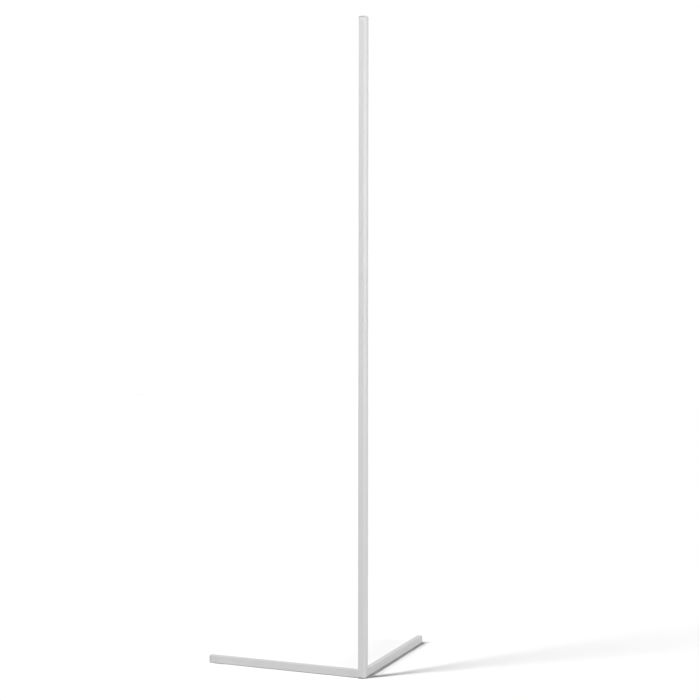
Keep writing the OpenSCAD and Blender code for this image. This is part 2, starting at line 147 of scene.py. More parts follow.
def rod(name, radius, start, end, sides=48):
    """A cylinder from one point to another."""
    drop_selection()
    start, end = Vector(start), Vector(end)
    along = end - start
    turn = along.to_track_quat("Z", "Y").to_euler()
    bpy.ops.mesh.primitive_cylinder_add(
        vertices=sides, radius=radius, depth=along.length, location=(start + end) / 2, rotation=turn
    )
    return settle(name)


def open_mesh(piece):
    make_active(piece)
    bpy.ops.object.mode_set(mode="EDIT")
    bpy.ops.mesh.select_all(action="DESELECT")


def close_mesh():
    bpy.ops.object.mode_set(mode="OBJECT")


def pick_edges(piece, wanted):
    """Selects the edges for which wanted(one end, other end) is true."""
    bpy.ops.mesh.select_mode(type="EDGE")
    bpy.ops.mesh.select_all(action="DESELECT")
    mesh = bmesh.from_edit_mesh(piece.data)
    for edge in mesh.edges:
        if wanted(edge.verts[0].co, edge.verts[1].co):
            edge.select_set(True)
    bmesh.update_edit_mesh(piece.data)


def pick_faces(piece, wanted):
    """Selects the faces for which wanted(normal) is true."""
    bpy.ops.mesh.select_mode(type="FACE")
    bpy.ops.mesh.select_all(action="DESELECT")
    mesh = bmesh.from_edit_mesh(piece.data)
    mesh.normal_update()
    for face in mesh.faces:
        if wanted(face.normal):
            face.select_set(True)
    bmesh.update_edit_mesh(piece.data)


def facing(*directions):
    """Picks the flat faces that look in one of the directions."""
    return lambda normal: any(normal.dot(Vector(way)) > SQUARE_ON for way in directions)


def upright(a, b):
    return abs(a.x - b.x) < TOUCH and abs(a.y - b.y) < TOUCH


def outer_corner(a, b):
    return upright(a, b) and a.x > 0 and a.y < 0


def inner_corner(a, b):
    return upright(a, b) and a.x < 0 and a.y > 0


def level(a, b):
    return abs(a.z - b.z) < TOUCH


def lengthwise(a, b):
    """True for an edge along the left leg."""
    return level(a, b) and abs(a.y - b.y) < TOUCH


def both_at(axis, value):
    """Picks the edges with both ends at that coordinate."""
    return lambda a, b: abs(a[axis] - value) < TOUCH and abs(b[axis] - value) < TOUCH


def both_inward(value):
    """Picks the edges with both ends that far inward."""
    return lambda a, b: all(abs(p.dot(INWARD) - value) < TOUCH for p in (a, b))


def push_faces(way):
    """Extrudes the selected faces."""
    bpy.ops.mesh.extrude_region_move(TRANSFORM_OT_translate={"value": way})


def round_edges(piece, radius, wanted, segments=3):
    """Rounds the chosen edges, or cuts them flat when there is one segment."""
    open_mesh(piece)
    pick_edges(piece, wanted)
    bpy.ops.mesh.bevel(
        offset=radius, offset_type="OFFSET", segments=segments, profile=0.5, affect="EDGES"
    )
    close_mesh()


def slice_off(piece, point, normal, fill=True):
    """Cuts away what lies on the normal's side of a plane."""
    open_mesh(piece)
    bpy.ops.mesh.select_all(action="SELECT")
    bpy.ops.mesh.bisect(
        plane_co=point, plane_no=normal, use_fill=fill, clear_outer=True, threshold=PLANE_TOUCH
    )
    close_mesh()


def thicken(piece, thickness):
    """Gives a sheet its wall, on the side away from its normals."""
    make_active(piece)
    bpy.ops.object.modifier_add(type="SOLIDIFY")
    solidify = piece.modifiers[-1]
    solidify.thickness = thickness
    solidify.offset = -1
    solidify.use_even_offset = True
    bpy.ops.object.modifier_apply(modifier=solidify.name)


def carve(piece, tool, operation="DIFFERENCE"):
    """Cuts a tool's shape out of a piece, or adds it, and throws the tool away."""
    make_active(piece)
    bpy.ops.object.modifier_add(type="BOOLEAN")
    boolean = piece.modifiers[-1]
    boolean.operation = operation
    boolean.solver = "EXACT"
    boolean.object = tool
    bpy.ops.object.modifier_apply(modifier=boolean.name)
    bpy.data.objects.remove(tool, do_unlink=True)


def joined(name, *parts):
    """One piece made of several closed shapes."""
    drop_selection()
    for part in parts:
        part.select_set(True)
    bpy.context.view_layer.objects.active = parts[0]
    bpy.ops.object.join()
    piece = bpy.context.view_layer.objects.active
    piece.name = name
    piece.data.name = name
    return piece


def mirrored(piece, name):
    """The same piece on the other side of the upright plane between the legs."""
    twin = piece.copy()
    twin.data = piece.data.copy()
    twin.name = name
    twin.data.name = name
    bpy.context.scene.collection.objects.link(twin)
    twin.data.transform(MIRROR)
    open_mesh(twin)
    bpy.ops.mesh.select_all(action="SELECT")
    bpy.ops.mesh.normals_make_consistent(inside=False)
    close_mesh()
    return twin


def smooth(piece):
    """Smooth shading over the rounded edges, with the large faces kept flat."""
    make_active(piece)
    bpy.ops.object.shade_smooth_by_angle(angle=SMOOTH_ANGLE)
    bpy.ops.object.modifier_add(type="WEIGHTED_NORMAL")
    piece.modifiers[-1].keep_sharp = True
    bpy.ops.object.modifier_apply(modifier=piece.modifiers[-1].name)


# --- Shader maths -------------------------------------------------------------------------------


class Value:
    """A shader socket in an expression: arithmetic on it adds Math nodes."""

    def __init__(self, nodes, socket):
        self.nodes = nodes
        self.socket = socket

    def math(self, operation, first, second):
        return self.nodes.node("ShaderNodeMath", {"operation": operation}, {0: first, 1: second})

    def larger(self, other):
        return self.math("MAXIMUM", self, other)

    def __add__(self, other):
        return self.math("ADD", self, other)

    def __sub__(self, other):
        return self.math("SUBTRACT", self, other)

    def __rsub__(self, other):
        return self.math("SUBTRACT", other, self)

    def __mul__(self, other):
        return self.math("MULTIPLY", self, other)

    def __pow__(self, other):
        return self.math("POWER", self, other)

    __radd__ = __add__
    __rmul__ = __mul__


class Nodes:
    """The emptied node tree of a material or of the world."""

    def __init__(self, holder):
        holder.use_nodes = True
        self.tree = holder.node_tree
        self.tree.nodes.clear()

    def node(self, kind, settings=None, inputs=None, out=0):
        """Adds a node: its settings first, then its sockets' values or links."""
        made = self.tree.nodes.new(kind)
        for key, value in (settings or {}).items():
            if key == "stops":
                for stop, (place, grey) in zip(made.color_ramp.elements, value):
                    stop.position = place
                    stop.color = colour(grey)
            else:
                setattr(made, key, value)
        for key, value in (inputs or {}).items():
            if isinstance(value, Value):
                self.tree.links.new(value.socket, made.inputs[key])
            else:
                made.inputs[key].default_value = value
        return None if out is None else Value(self, made.outputs[out])

    def between(self, share, first, second):
        """A colour between two greys or colours. The node's colours are its sockets 6 and 7."""
        inputs = {"Factor": share, 6: colour(first), 7: colour(second)}
        return self.node("ShaderNodeMix", {"data_type": "RGBA"}, inputs, out=2)

    def shades(self, share, tint, low, high):
        """A tint that varies from low times to high times as light."""
        return self.between(share, scaled(tint, low), scaled(tint, high))


class Finish(Nodes):
    """A material with one Principled shader. Fixed values are set on the shader itself."""

    def __init__(self, name, fixed=None):
        self.material = bpy.data.materials.new(name)
        super().__init__(self.material)
        self.shader = self.tree.nodes.new("ShaderNodeBsdfPrincipled")
        output = self.tree.nodes.new("ShaderNodeOutputMaterial")
        self.tree.links.new(self.shader.outputs[0], output.inputs["Surface"])
        for key, value in (fixed or {}).items():
            self.shader.inputs[key].default_value = value

    def set(self, base_color, roughness, metallic=None):
        """Links what varies over the surface to the shader."""
        varied = {"Base Color": base_color, "Roughness": roughness, "Metallic": metallic}
        for key, value in varied.items():
            if value is not None:
                self.tree.links.new(value.socket, self.shader.inputs[key])

    def place(self, size=1, turn=0.0):
        """The object's own coordinates, turned about the upright axis, in units of size mm."""
        coordinates = self.node("ShaderNodeTexCoord", out="Object")
        scale = tuple(1 / (MM * unit) for unit in triple(size))
        inputs = {"Vector": coordinates, "Rotation": (0, 0, turn), "Scale": scale}
        return self.node("ShaderNodeMapping", {}, inputs)

    def along(self, axis, turn=0.0):
        """One of those coordinates, in millimetres."""
        return self.node("ShaderNodeSeparateXYZ", {}, {0: self.place(turn=turn)}, out=axis)

    def noise(self, size, detail=2, turn=0.0, roughness=0.5):
        """Noise from 0 to 1. size is the length of one blot in mm, or its length on each axis."""
        place = self.place(size, turn)
        inputs = {"Vector": place, "Scale": 1, "Detail": detail, "Roughness": roughness}
        return self.node("ShaderNodeTexNoise", {"noise_dimensions": "3D"}, inputs)

    def cells(self, size):
        """Distance to the nearest of many scattered points, size millimetres apart."""
        inputs = {"Vector": self.place(size), "Scale": 1}
        return self.node("ShaderNodeTexVoronoi", {"feature": "F1"}, inputs)

    def steps(self, value, low, high):
        """Value stretched so that low becomes 0 and high becomes 1."""
        return self.node("ShaderNodeValToRGB", {"stops": [(low, 0), (high, 1)]}, {0: value})

    def bumpy(self, height, depth, strength):
        """A normal from a height of 0 to 1, depth millimetres deep."""
        inputs = {"Height": height, "Strength": strength, "Distance": depth * MM}
        bump = self.node("ShaderNodeBump", {}, inputs)
        self.tree.links.new(bump.socket, self.shader.inputs["Normal"])


def triple(value):
    """Three equal numbers made of one. Three stay as they are."""
    return (value,) * 3 if isinstance(value, (int, float)) else value


def colour(value):
    """A grey or a colour, as a shader takes it."""
    return (*triple(value), 1)


def scaled(tint, by):
    """A grey or a colour, made lighter or darker."""
    return tuple(part * by for part in triple(tint))


# --- Finishes -----------------------------------------------------------------------------------

# Places on the light strip, in millimetres
TRACK_MIDDLE = 2.6  # of each track, from the strip's middle
WINDOW_FACE = -0.4  # how far inward the fill in a chip's window lies
WINDOW_RANGE = 0.05
CHIP_PITCH = 16
RESISTOR_Z = 58  # middle of a resistor; the others are a chip's pitch apart


def extruded_satin(name, grey, metallic, roughness):
    """Satin aluminium with fine upright die lines and a very light unevenness."""
    finish = Finish(name, {"Metallic": metallic})
    lines = finish.noise((0.35, 0.35, 160), detail=3)
    wide_lines = finish.noise((2.2, 2.2, 700), detail=1)
    specks = finish.noise(0.12, detail=1)
    cloud = finish.noise((60, 60, 180))
    share = lines * 0.7 + wide_lines * 0.15 + cloud * 0.15
    finish.set(
        base_color=finish.shades(share, grey, 0.95, 1.05),
        roughness=lines * 0.1 + cloud * 0.03 + specks * 0.06 + (roughness - 0.095),
    )
    finish.bumpy(lines * 0.7 + specks * 0.3, 0.02, 0.6)
    return finish.material


def powder_coat(name, grey, roughness):
    """Satin powder coat: a soft orange peel, with fine grains in it."""
    finish = Finish(name)
    peel = finish.noise(1.1)
    grains = finish.cells(0.22)
    cloud = finish.noise(45)
    finish.set(
        base_color=finish.shades(cloud * 0.6 + grains * 0.4, grey, 0.95, 1.05),
        roughness=peel * 0.08 + cloud * 0.05 + (roughness - 0.065),
    )
    finish.bumpy(peel * 0.75 + grains * 0.25, 0.05, 0.5)
    return finish.material


def moulded_plastic(name, grey, roughness, texture=0.28, depth=0.03):
    """Plastic from a spark-eroded mould: an even fine grain, polished on the high spots."""
    finish = Finish(name)
    grain = finish.noise(texture, detail=3, roughness=0.6)
    cloud = finish.noise(14)
    finish.set(
        base_color=finish.shades(cloud * 0.5 + grain * 0.5, grey, 0.92, 1.08),
        roughness=(roughness + 0.07) - grain * 0.1 + cloud * 0.04,
    )
    finish.bumpy(grain, depth, 0.7)
    return finish.material


def milky_cover(name, white):
    """Opal cover: satin, with faint extrusion lines and a little depth."""
    finish = Finish(name, {"Subsurface Weight": 0.15, "Subsurface Scale": 2 * MM, "IOR": 1.49})
    lines = finish.noise((0.8, 0.8, 400))
    cloud = finish.noise((40, 40, 120))
    finish.set(
        base_color=finish.shades(lines * 0.4 + cloud * 0.6, white, 0.97, 1.02),
        roughness=lines * 0.07 + cloud * 0.05 + 0.3,
    )
    finish.bumpy(lines, 0.01, 0.4)
    return finish.material


def turned_metal(name, tint, roughness, wear=0.12):
    """Plated or bare metal of small parts: fine scratches and a patchy shine."""
    finish = Finish(name, {"Metallic": 1.0})
    scratches = finish.noise((0.15, 0.9, 0.15), detail=3, turn=0.6)
    patches = finish.noise(2.5, detail=3)
    finish.set(
        base_color=finish.shades(patches, tint, 1 - wear, 1 + wear),
        roughness=scratches * 0.14 + patches * 0.1 + (roughness - 0.12),
    )
    finish.bumpy(scratches, 0.01, 0.5)
    return finish.material


def rolled_bar(name, tint, roughness):
    """Bare rolled steel: long marks along the bar and a mottled scale."""
    finish = Finish(name, {"Metallic": 1.0})
    marks = finish.noise((6, 6, 0.4), detail=3)
    scale = finish.noise(9, detail=4, roughness=0.6)
    mottle = finish.steps(scale, 0.35, 0.7)
    finish.set(
        base_color=finish.shades(mottle, tint, 0.75, 1.15),
        roughness=marks * 0.15 + mottle * 0.2 + (roughness - 0.17),
    )
    finish.bumpy(marks * 0.5 + scale * 0.5, 0.05, 0.6)
    return finish.material


def moulded_rubber(name, grey):
    """Soft rubber: matt, finely pitted, dusty on the high spots."""
    finish = Finish(name)
    pits = finish.cells(0.5)
    grain = finish.noise(0.3, detail=3)
    dust = finish.steps(finish.noise(5, detail=3), 0.4, 0.8)
    finish.set(
        base_color=finish.between(dust * 0.5, grey, grey * 1.35 + 0.01),
        roughness=grain * 0.12 + dust * 0.08 + 0.68,
    )
    finish.bumpy(pits * 0.4 + grain * 0.6, 0.06, 0.7)
    return finish.material


def printed_board(name):
    """White solder mask over two copper tracks, which stand out as faint raised bands."""
    finish = Finish(name)
    across = finish.along("Y", -INWARD_TURN)
    bands = across.math("PINGPONG", across, TRACK_MIDDLE)
    tracks = finish.steps(bands * 0.4, 0.35, 0.45)
    grain = finish.noise(0.25)
    finish.set(
        base_color=finish.between(tracks * 0.7 + grain * 0.3, (0.82, 0.82, 0.8), (0.9, 0.88, 0.82)),
        roughness=grain * 0.12 + 0.34,
    )
    finish.bumpy(tracks * 0.8 + grain * 0.2, 0.03, 0.6)
    return finish.material


def chip_housing(name):
    """White chip housing, with a pale yellow fill in its round window."""
    finish = Finish(name)
    compared = {0: finish.along("X", -INWARD_TURN), 1: WINDOW_FACE, 2: WINDOW_RANGE}
    window = finish.node("ShaderNodeMath", {"operation": "COMPARE"}, compared)
    grain = finish.noise(0.3)
    finish.set(
        base_color=finish.between(window, (0.88, 0.88, 0.86), (0.86, 0.72, 0.22)),
        roughness=grain * 0.1 + window * 0.1 + 0.3,
    )
    finish.bumpy(grain, 0.01, 0.5)
    return finish.material


def resistor_body(name):
    """Black body with tinned ends, by height along the strip."""
    finish = Finish(name)
    height = finish.along("Z")
    from_middle = height.math("PINGPONG", height - RESISTOR_Z, CHIP_PITCH / 2)
    ends = finish.steps(from_middle * 0.5, 0.34, 0.36)
    grain = finish.noise(0.2)
    finish.set(
        base_color=finish.between(ends, 0.03, 0.6),
        roughness=grain * 0.15 + 0.3,
        metallic=ends * 0.9,
    )
    finish.bumpy(grain, 0.01, 0.5)
    return finish.material


def adhesive_film(name):
    """Amber adhesive film with a cloudy bond."""
    finish = Finish(name)
    bond = finish.steps(finish.noise((3, 3, 8), detail=4), 0.35, 0.65)
    finish.set(
        base_color=finish.between(bond, (0.48, 0.43, 0.3), (0.62, 0.56, 0.42)),
        roughness=bond * 0.25 + 0.35,
    )
    finish.bumpy(bond, 0.01, 0.4)
    return finish.material


def wire_cover(name, tint):
    """Glossy wire insulation, faintly ribbed by its extruder."""
    finish = Finish(name)
    ribs = finish.noise((2, 2, 0.5))
    finish.set(
        base_color=finish.shades(ribs, tint, 0.85, 1.15),
        roughness=ribs * 0.12 + 0.26,
    )
    finish.bumpy(ribs, 0.01, 0.4)
    return finish.material


COAT_GREY = 0.5044
COAT_ROUGHNESS = 0.62
finishes = {
    "profile": extruded_satin("satin_profile", 0.5096, metallic=0.25, roughness=0.62),
    "base_metal": powder_coat("leg_powder_coat", COAT_GREY, COAT_ROUGHNESS),
    "cast_block": powder_coat("block_powder_coat", COAT_GREY, COAT_ROUGHNESS),
    "cap_plastic": moulded_plastic("grey_moulding", 0.46, roughness=0.48),
    "milky_cover": milky_cover("opal_cover", (0.86, 0.86, 0.845)),
    "bright_steel": turned_metal("zinc_plated_screw", (0.56, 0.56, 0.57), roughness=0.36),
    "ballast_steel": rolled_bar("rolled_steel_bar", (0.42, 0.42, 0.43), roughness=0.5),
    "dark_steel": turned_metal("blackened_screw", (0.14, 0.14, 0.145), roughness=0.45),
    "joiner_metal": turned_metal(
        "bare_aluminium_bar", (0.62, 0.62, 0.63), roughness=0.4, wear=0.06
    ),
    "board": printed_board("flexible_board"),
    "adhesive": adhesive_film("adhesive_film"),
    "chip_body": chip_housing("light_chip"),
    "resistor_body": resistor_body("chip_resistor"),
    "foot_rubber": moulded_rubber("grey_rubber", 0.26),
    "pad_rubber": moulded_rubber("black_rubber", 0.06),
    "inlet_plastic": moulded_plastic(
        "black_inlet_plastic", 0.03, roughness=0.38, texture=0.2, depth=0.01
    ),
    "contact_brass": turned_metal("contact_brass", (0.78, 0.6, 0.3), roughness=0.26),
    "red_wire": wire_cover("red_insulation", (0.5, 0.02, 0.02)),
    "black_wire": wire_cover("black_insulation", (0.02, 0.02, 0.02)),
}


def finished(piece, slot, *nodes):
    """A new piece, in the finish of a material slot, takes the place of its CAD nodes."""
    smooth(piece)
    piece.data.materials.clear()
    piece.data.materials.append(finishes[slot])
    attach(piece, "root")
    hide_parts(*nodes)


# --- Pole ---------------------------------------------------------------------------------------

EDGE_R = 0.35 * MM  # radius of the extrusion's edges
SEAM = 0.05 * MM  # broken edge at the butt joints
SHELF_T = 1 * MM  # the shelf behind the diffuser, which carries the light strip
SHELF_FACE = -2 * MM
SHELF_HALF_W = 8.1 * MM
SHELF_DROP = 10.1 * MM  # its end under the pole's top, with room for the cap's plug


def pole_length(name, node):
    """One length of the corner extrusion, with its flat corner, its shelf and its lips."""
    bottom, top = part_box(node)[0].z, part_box(node)[1].z
    shell = block(name, (-HALF, -HALF, bottom), (HALF, HALF, top))
    round_edges(shell, APEX_CUT, outer_corner, segments=1)
    open_mesh(shell)
    pick_faces(shell, facing((-1, 0, 0), (0, 1, 0), UP, -UP))
    bpy.ops.mesh.delete(type="FACE")
    close_mesh()
    thicken(shell, WALL)
    round_edges(shell, EDGE_R, lambda a, b: upright(a, b) and a.x - a.y > APEX_PLANE - TOUCH)
    round_edges(shell, SEAM, outer_rim(bottom, top), segments=1)
    inner_bottom = max(bottom, LEG_TOP)
    shelf = block(
        "shelf",
        (SHELF_FACE - SHELF_T, -SHELF_HALF_W, inner_bottom),
        (SHELF_FACE, SHELF_HALF_W, min(top, POLE_TOP - SHELF_DROP)),
        turn=INWARD_TURN,
    )
    lip = block(
        "lip", (-HALF, WALL - HALF - FIT, inner_bottom), (LIP - HALF, WALL + LIP - HALF, top)
    )
    other_lip = mirrored(lip, "other_lip")
    finished(joined(name, shell, shelf, lip, other_lip), "profile", node)


def outer_rim(bottom, top):
    """Picks the edges of the outer faces at both ends of a length."""
    at_bottom, at_top = both_at(2, bottom), both_at(2, top)

    def wanted(a, b):
        return (at_bottom(a, b) or at_top(a, b)) and on_outer_face(a) and on_outer_face(b)

    return wanted


def on_outer_face(p):
    return abs(p.y + HALF) < TOUCH or abs(p.x - HALF) < TOUCH or p.x - p.y > APEX_PLANE - EDGE_R


for third in ("lower", "middle", "upper"):
    pole_length(f"pole_{third}_length", f"pole_{third}")


def outline_prism(name, bottom, top):
    """The pole's whole outline as a solid: a wide round bar, cut to the square and its corner."""
    centre = INWARD * ARC_CENTRE
    piece = rod(name, ARC_R, centre + UP * bottom, centre + UP * top, sides=160)
    for normal in ((-1, 0, 0), (0, -1, 0), (1, 0, 0), (0, 1, 0)):
        slice_off(piece, Vector(normal) * HALF, normal)
    slice_off(piece, -INWARD * APEX_PLANE / ROOT2, -INWARD)
    return piece


# --- Top cap ------------------------------------------------------------------------------------

CAP_EDGE_R = 0.5 * MM
PLUG_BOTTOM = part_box("top_cap")[0].z
PLUG_CUT = APEX_CUT - 0.5 * MM
PLUG_HALF = HALF - WALL - FIT

plate = outline_prism("plate", POLE_TOP, LAMP_TOP)
round_edges(plate, EDGE_R, lambda a, b: upright(a, b) and a.x - a.y > HALF)
round_edges(plate, CAP_EDGE_R, both_at(2, LAMP_TOP), segments=4)
plug = block(
    "plug", (-PLUG_HALF, -PLUG_HALF, PLUG_BOTTOM), (PLUG_HALF, PLUG_HALF, POLE_TOP + TOUCH)
)
round_edges(plug, PLUG_CUT, outer_corner, segments=1)
slice_off(plug, INWARD * PLUG_FACE, INWARD)
finished(joined("top_cap_moulding", plate, plug), "cap_plastic", "top_cap")

# --- Diffuser -----------------------------------------------------------------------------------

DIFFUSER_T = 1.2 * MM


def milky_diffuser():
    """The cover's arc between the lips, with a hook along each side."""
    centre = INWARD * ARC_CENTRE
    bottom, top = centre + UP * HOUSING_TOP, centre + UP * POLE_TOP
    cover = rod("diffuser_cover", ARC_R, bottom, top, sides=240)
    open_mesh(cover)
    pick_faces(cover, facing(UP, -UP))
    bpy.ops.mesh.delete(type="FACE")
    close_mesh()
    slice_off(cover, (0, EDGE_RISE - HALF, 0), (0, -1, 0), fill=False)
    slice_off(cover, (HALF - EDGE_RISE, 0, 0), (1, 0, 0), fill=False)
    thicken(cover, DIFFUSER_T)
    inner = LIP + FIT - HALF
    low = EDGE_RISE - LIP - HALF
    high = low + LIP + HOOK_RISE
    hook = block("hook", (inner, low, HOUSING_TOP), (inner + HOOK_W, high, POLE_TOP))
    other_hook = mirrored(hook, "other_hook")
    finished(joined("diffuser_cover", cover, hook, other_hook), "milky_cover", "diffuser")


milky_diffuser()

# --- Legs ---------------------------------------------------------------------------------------

LEG_EDGE_R = 0.6 * MM
TIP_R = 0.5 * MM  # less than the corners' radius, which it runs around
PLUG_L = 14 * MM
PLUG_WALL = 1.4 * MM
PLUG_FLOOR = 2 * MM
PAD_R = 2 * MM
PAD_EDGE_R = 0.2 * MM
GROOVES = (0.25, 0.5, 0.75)  # shares of the pad's length
GROOVE_HALF_W = 0.6 * MM
GROOVE_DEPTH = 0.35 * MM


def leg_tube(name):
    """The left leg: a rounded rectangular tube, open at both ends."""
    tube = block(name, (-TUBE_END, -LEG_W / 2, LEG_LIFT), (-HALF, LEG_W / 2, LEG_TOP))
    round_edges(tube, LEG_EDGE_R, lengthwise, segments=4)
    side = LEG_W / 2 - LEG_WALL
    low, high = LEG_LIFT + LEG_WALL, LEG_TOP - LEG_WALL
    carve(tube, block("bore", (-LEG_TIP, -side, low), (0, side, high)))
    return tube


def leg_cap(name):
    """The left leg's end cap, with softly rounded tip and a hollow plug in the tube."""
    cap = block(name, (-LEG_TIP, -LEG_W / 2, LEG_LIFT), (-TUBE_END, LEG_W / 2, LEG_TOP))
    round_edges(cap, LEG_EDGE_R, lengthwise, segments=4)
    round_edges(cap, TIP_R, both_at(0, -LEG_TIP), segments=4)
    side, rise = LEG_W / 2 - LEG_WALL - FIT, LEG_WALL + FIT
    low = (-TUBE_END, -side, LEG_LIFT + rise)
    high = (PLUG_L - TUBE_END, side, LEG_TOP - rise)
    hollow = block("hollow_plug", low, high)
    open_mesh(hollow)
    pick_faces(hollow, facing((1, 0, 0)))
    bpy.ops.mesh.inset(thickness=PLUG_WALL)
    push_faces((PLUG_FLOOR - PLUG_L, 0, 0))
    close_mesh()
    return joined(name, cap, hollow)


def foot_pad(name):
    """The left leg's rubber pad, with three grooves across its underside."""
    low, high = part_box("left_foot_pad")
    pad = block(name, low, high)
    round_edges(pad, PAD_R, upright, segments=5)
    round_edges(pad, PAD_EDGE_R, both_at(2, 0), segments=2)
    length = high.x - low.x
    for share in GROOVES:
        x = low.x + share * length
        start = (x - GROOVE_HALF_W, -LEG_W, -OVERCUT)
        carve(pad, block("groove", start, (x + GROOVE_HALF_W, LEG_W, GROOVE_DEPTH)))
    return pad


for make, name, slot, node in (
    (leg_tube, "leg_tube", "base_metal", "leg"),
    (leg_cap, "leg_end_cap", "cap_plastic", "leg_cap"),
    (foot_pad, "foot_pad_rubber", "pad_rubber", "foot_pad"),
):
    left = make("left_" + name)
    right = mirrored(left, "right_" + name)
    finished(left, slot, "left_" + node)
    finished(right, slot, "right_" + node)

# --- Foot under the pole ------------------------------------------------------------------------

FOOT_T = 3 * MM
FOOT_EDGE_R = 0.5 * MM
FOOT_RIM = 1.2 * MM  # around the hollow underneath
FOOT_HOLLOW = 0.6 * MM
INNER_CUT = 2 * MM
PIN_R = 1.5 * MM
PIN_TOP = FOOT_T + 3.5 * MM  # the pins reach up into the corner block


def pole_foot():
    """The rubber foot: the pole's square with two cut corners, hollow underneath, on two pins."""
    foot = block("pole_foot_rubber", (-HALF, -HALF, 0), (HALF, HALF, FOOT_T))
    round_edges(foot, APEX_CUT, outer_corner, segments=1)
    round_edges(foot, INNER_CUT, inner_corner, segments=1)
    round_edges(foot, FOOT_EDGE_R, both_at(2, 0), segments=3)
    open_mesh(foot)
    pick_faces(foot, facing(-UP))
    bpy.ops.mesh.inset(thickness=FOOT_RIM)
    push_faces((0, 0, FOOT_HOLLOW))
    close_mesh()
    across = Vector((1, 1, 0)) / ROOT2 * HALF / 2
    pins = []
    for middle in (-across, across):
        start, end = middle + UP * (FOOT_T / 2), middle + UP * PIN_TOP
        pins.append(rod("pin", PIN_R, start, end, sides=24))
    finished(joined("pole_foot_rubber", foot, *pins), "foot_rubber", "pole_foot")


pole_foot()

# --- Screws in the pole's faces -----------------------------------------------------------------

SCREW_X = -1.7 * MM  # in the left outer face; the right one is its mirror
HEAD_R = 2.2 * MM
HEAD_DOME = 0.4 * MM  # how far the head stands out of the face
HEAD_SINK = 0.3 * MM
HEAD_EDGE_R = 0.38 * MM
SHANK_R = 1.25 * MM
SHANK_START = 0.25 * MM
SCREW_L = 4 * MM
SOCKET_R = 1.5 * MM / math.sqrt(3)  # 1.5 mm across the flats
SOCKET_DEPTH = 1 * MM


def screw_rod(name, radius, start, end, z, sides):
    """A rod on the axis of the screw in the left outer face, between two values of y."""
    return rod(name, radius, (SCREW_X, start, z), (SCREW_X, end, z), sides)


def oval_screws(name, node):
    """Oval-head socket screws at one height, one in each outer face."""
    z = middle_z(*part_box(node))
    face = -HALF
    socket_end = face + SOCKET_DEPTH - HEAD_DOME
    head = screw_rod("head", HEAD_R, face + HEAD_SINK, face - HEAD_DOME, z, sides=40)
    round_edges(head, HEAD_EDGE_R, both_at(1, face - HEAD_DOME), segments=4)
    carve(head, screw_rod("hexagon", SOCKET_R, socket_end, face - OVERCUT, z, sides=6))
    shank = screw_rod("shank", SHANK_R, face + SHANK_START, face + SCREW_L, z, sides=24)
    carve(shank, screw_rod("hollow", SOCKET_R, face, socket_end, z, sides=6))
    left = joined(name, head, shank)
    finished(joined(name, left, mirrored(left, "other_screw")), "bright_steel", node)


oval_screws("top_cap_screw_pair", "top_cap_screws")
oval_screws("corner_screw_pair", "corner_screws")

# --- Rear housing and inlet ---------------------------------------------------------------------

# FRONT, REAR, FLOOR and TIP are how far inward a face lies
HOUSING_FRONT = 11.5 * MM
HOUSING_HALF_W = 5.6 * MM
HOUSING_WALL = 1.4 * MM
HOUSING_R = 1.5 * MM
HOUSING_EDGE_R = 0.7 * MM
JACK_R = 4 * MM
JACK_REAR = 2.5 * MM
FLANGE_R = 5 * MM
FLANGE_T = 1.2 * MM
FLANGE_FRONT = HOUSING_FRONT + FLANGE_T
FLANGE_EDGE_R = 0.3 * MM
BORE_R = 2.8 * MM
BORE_FLOOR = 4 * MM
CONTACT_R = 1.05 * MM
CONTACT_REAR = 1.5 * MM
CONTACT_TIP = FLANGE_FRONT - 0.8 * MM
CONTACT_TIP_R = 0.5 * MM


def rear_housing():
    """The moulding under the diffuser: a plate that closes the pole, and a box for the inlet."""
    body = block(
        "housing_moulding",
        (PLUG_FACE, -HOUSING_HALF_W, LEG_TOP),
        (HOUSING_FRONT, HOUSING_HALF_W, HOUSING_TOP),
    )
    round_edges(body, HOUSING_R, lambda a, b: upright(a, b) and a.x > HALF, segments=5)
    round_edges(body, HOUSING_EDGE_R, lambda a, b: level(a, b) and max(a.x, b.x) > 0, segments=3)
    body.data.transform(Matrix.Rotation(INWARD_TURN, 4, "Z"))
    closing = outline_prism("closing", LEG_TOP, HOUSING_TOP)
    slice_off(closing, INWARD * PLUG_FACE, -INWARD)
    slice_off(closing, (0, EDGE_RISE - HALF, 0), (0, -1, 0))
    slice_off(closing, (HALF - EDGE_RISE, 0, 0), (1, 0, 0))
    carve(body, closing, "UNION")
    room_half = HOUSING_HALF_W - HOUSING_WALL
    room = block(
        "room",
        (PLUG_FACE - OVERCUT, -room_half, LEG_TOP + HOUSING_WALL),
        (HOUSING_FRONT - HOUSING_WALL, room_half, HOUSING_TOP - HOUSING_WALL),
        turn=INWARD_TURN,
    )
    carve(body, room)
    hole_end = inward_place(HOUSING_FRONT + OVERCUT, JACK_Z)
    carve(body, rod("hole", JACK_R + FIT, inward_place(HALF, JACK_Z), hole_end))
    finished(body, "cap_plastic", "rear_housing")


rear_housing()


